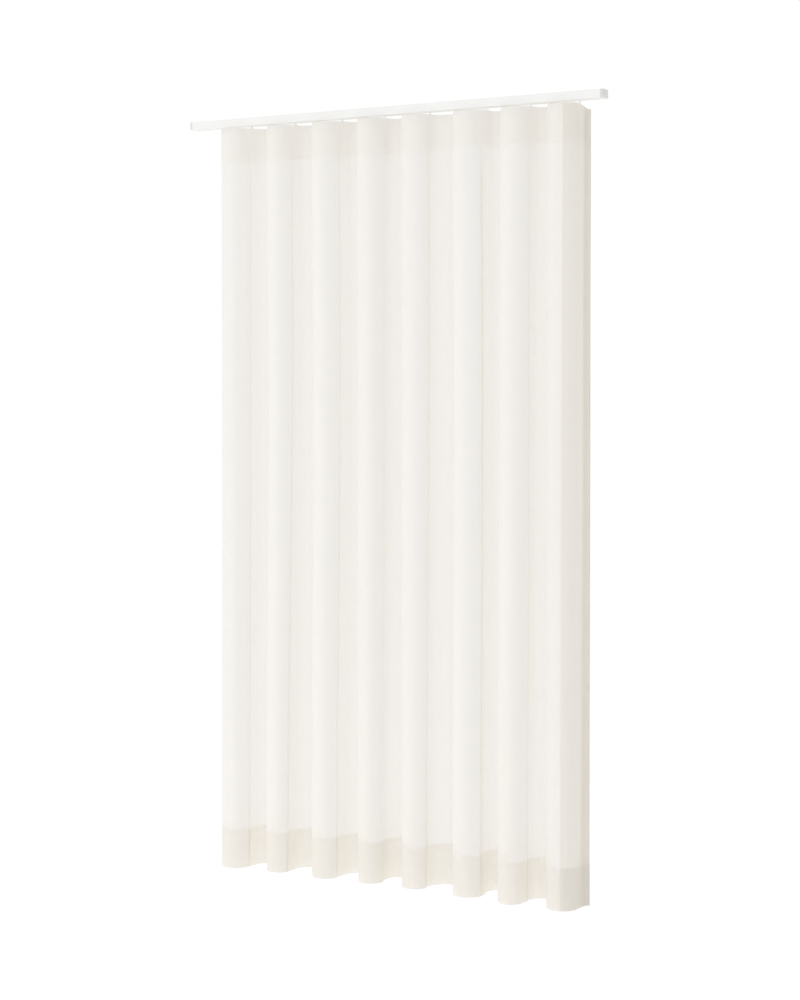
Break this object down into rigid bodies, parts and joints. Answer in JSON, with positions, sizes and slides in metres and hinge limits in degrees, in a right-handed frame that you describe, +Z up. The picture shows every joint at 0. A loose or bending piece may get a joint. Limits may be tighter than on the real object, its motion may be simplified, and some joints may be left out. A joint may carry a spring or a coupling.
{
  "type": "sheer voile curtain with ceiling rail",
  "caption": "Floor-length sheer voile curtain that hangs in soft wave folds from gliders in a slim white ceiling rail, with a taped heading and a deep hem.",
  "frame": {"origin": "middle of the rail's top face, where it meets the ceiling", "axes": "+X along the rail to the right as seen from the room, +Y from the room to the window behind the cloth, +Z up"},
  "size_m": [1.44, 0.1449, 2.347],
  "materials": {
    "voile": "sheer plain weave, warm white",
    "heading_tape": "woven tape, warm white",
    "rail": "satin white powder coat",
    "plastic": "white moulded"
  },
  "bodies": {
    "root": {"curtain_panel": "voile", "heading_tape": "heading_tape", "rail": "rail", "rail_end_cap_left": "plastic", "rail_end_cap_right": "plastic", "glider_01": "plastic", "glider_02": "plastic", "glider_03": "plastic", "glider_04": "plastic", "glider_05": "plastic", "glider_06": "plastic", "glider_07": "plastic", "glider_08": "plastic", "glider_09": "plastic", "glider_10": "plastic", "glider_11": "plastic", "glider_12": "plastic", "glider_13": "plastic", "glider_14": "plastic", "glider_15": "plastic", "glider_16": "plastic"}
  },
  "joints": []
}
